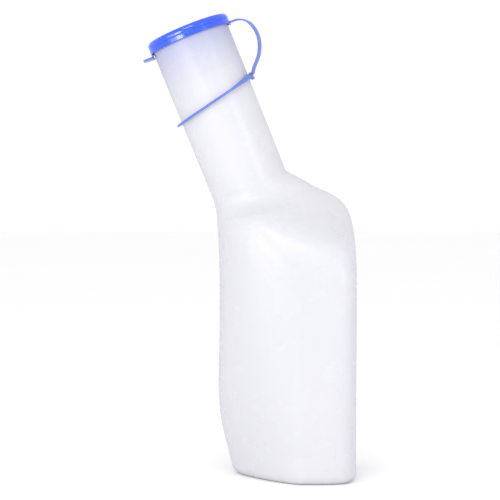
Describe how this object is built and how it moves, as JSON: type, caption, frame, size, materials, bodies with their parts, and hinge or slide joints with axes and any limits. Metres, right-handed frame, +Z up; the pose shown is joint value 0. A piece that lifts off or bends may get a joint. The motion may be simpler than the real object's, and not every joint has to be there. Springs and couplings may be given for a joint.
{
  "type": "portable urine bottle with tethered lid",
  "caption": "Portable urine bottle: milky blow-moulded tank that stands or lies flat, a leaning neck, and a blue snap lid on a strap and collar.",
  "frame": {"origin": "middle of the base's underside, on the plane the bottle stands on", "axes": "+Z up through the tank, +X towards the flat lying side, the neck leans towards -X, Y is the depth"},
  "size_m": [0.1292, 0.094, 0.2824],
  "materials": {
    "milky_plastic": "translucent natural polyethylene, satin",
    "blue_plastic": "royal blue injection-moulded polyethylene, semi-gloss"
  },
  "bodies": {
    "bottle": {"tank_wall": "milky_plastic", "base_panel": "milky_plastic", "shoulder": "milky_plastic", "neck_tube": "milky_plastic", "graduation_marks": "milky_plastic"},
    "tether": {"strap_bend": "blue_plastic", "tether_strap": "blue_plastic", "strap_foot": "blue_plastic", "collar_ring": "blue_plastic", "collar_lug": "blue_plastic"},
    "lid": {"lid_cap": "blue_plastic", "seal_bead": "blue_plastic", "pull_tab": "blue_plastic", "tab_rib": "blue_plastic", "strap_lug": "blue_plastic"}
  },
  "joints": [
    {"name": "collar_turn", "type": "hinge", "parent": "bottle", "child": "tether", "pos_m": [-0.06064, 0, 0.27205], "axis": [-0.3746, 0, 0.9272], "continuous": true},
    {"name": "lid_flip", "type": "hinge", "parent": "tether", "child": "lid", "pos_m": [-0.03404, 0, 0.27762], "axis": [0, 1, 0], "range_deg": [0, 105], "deforming": ["strap_bend"]}
  ]
}
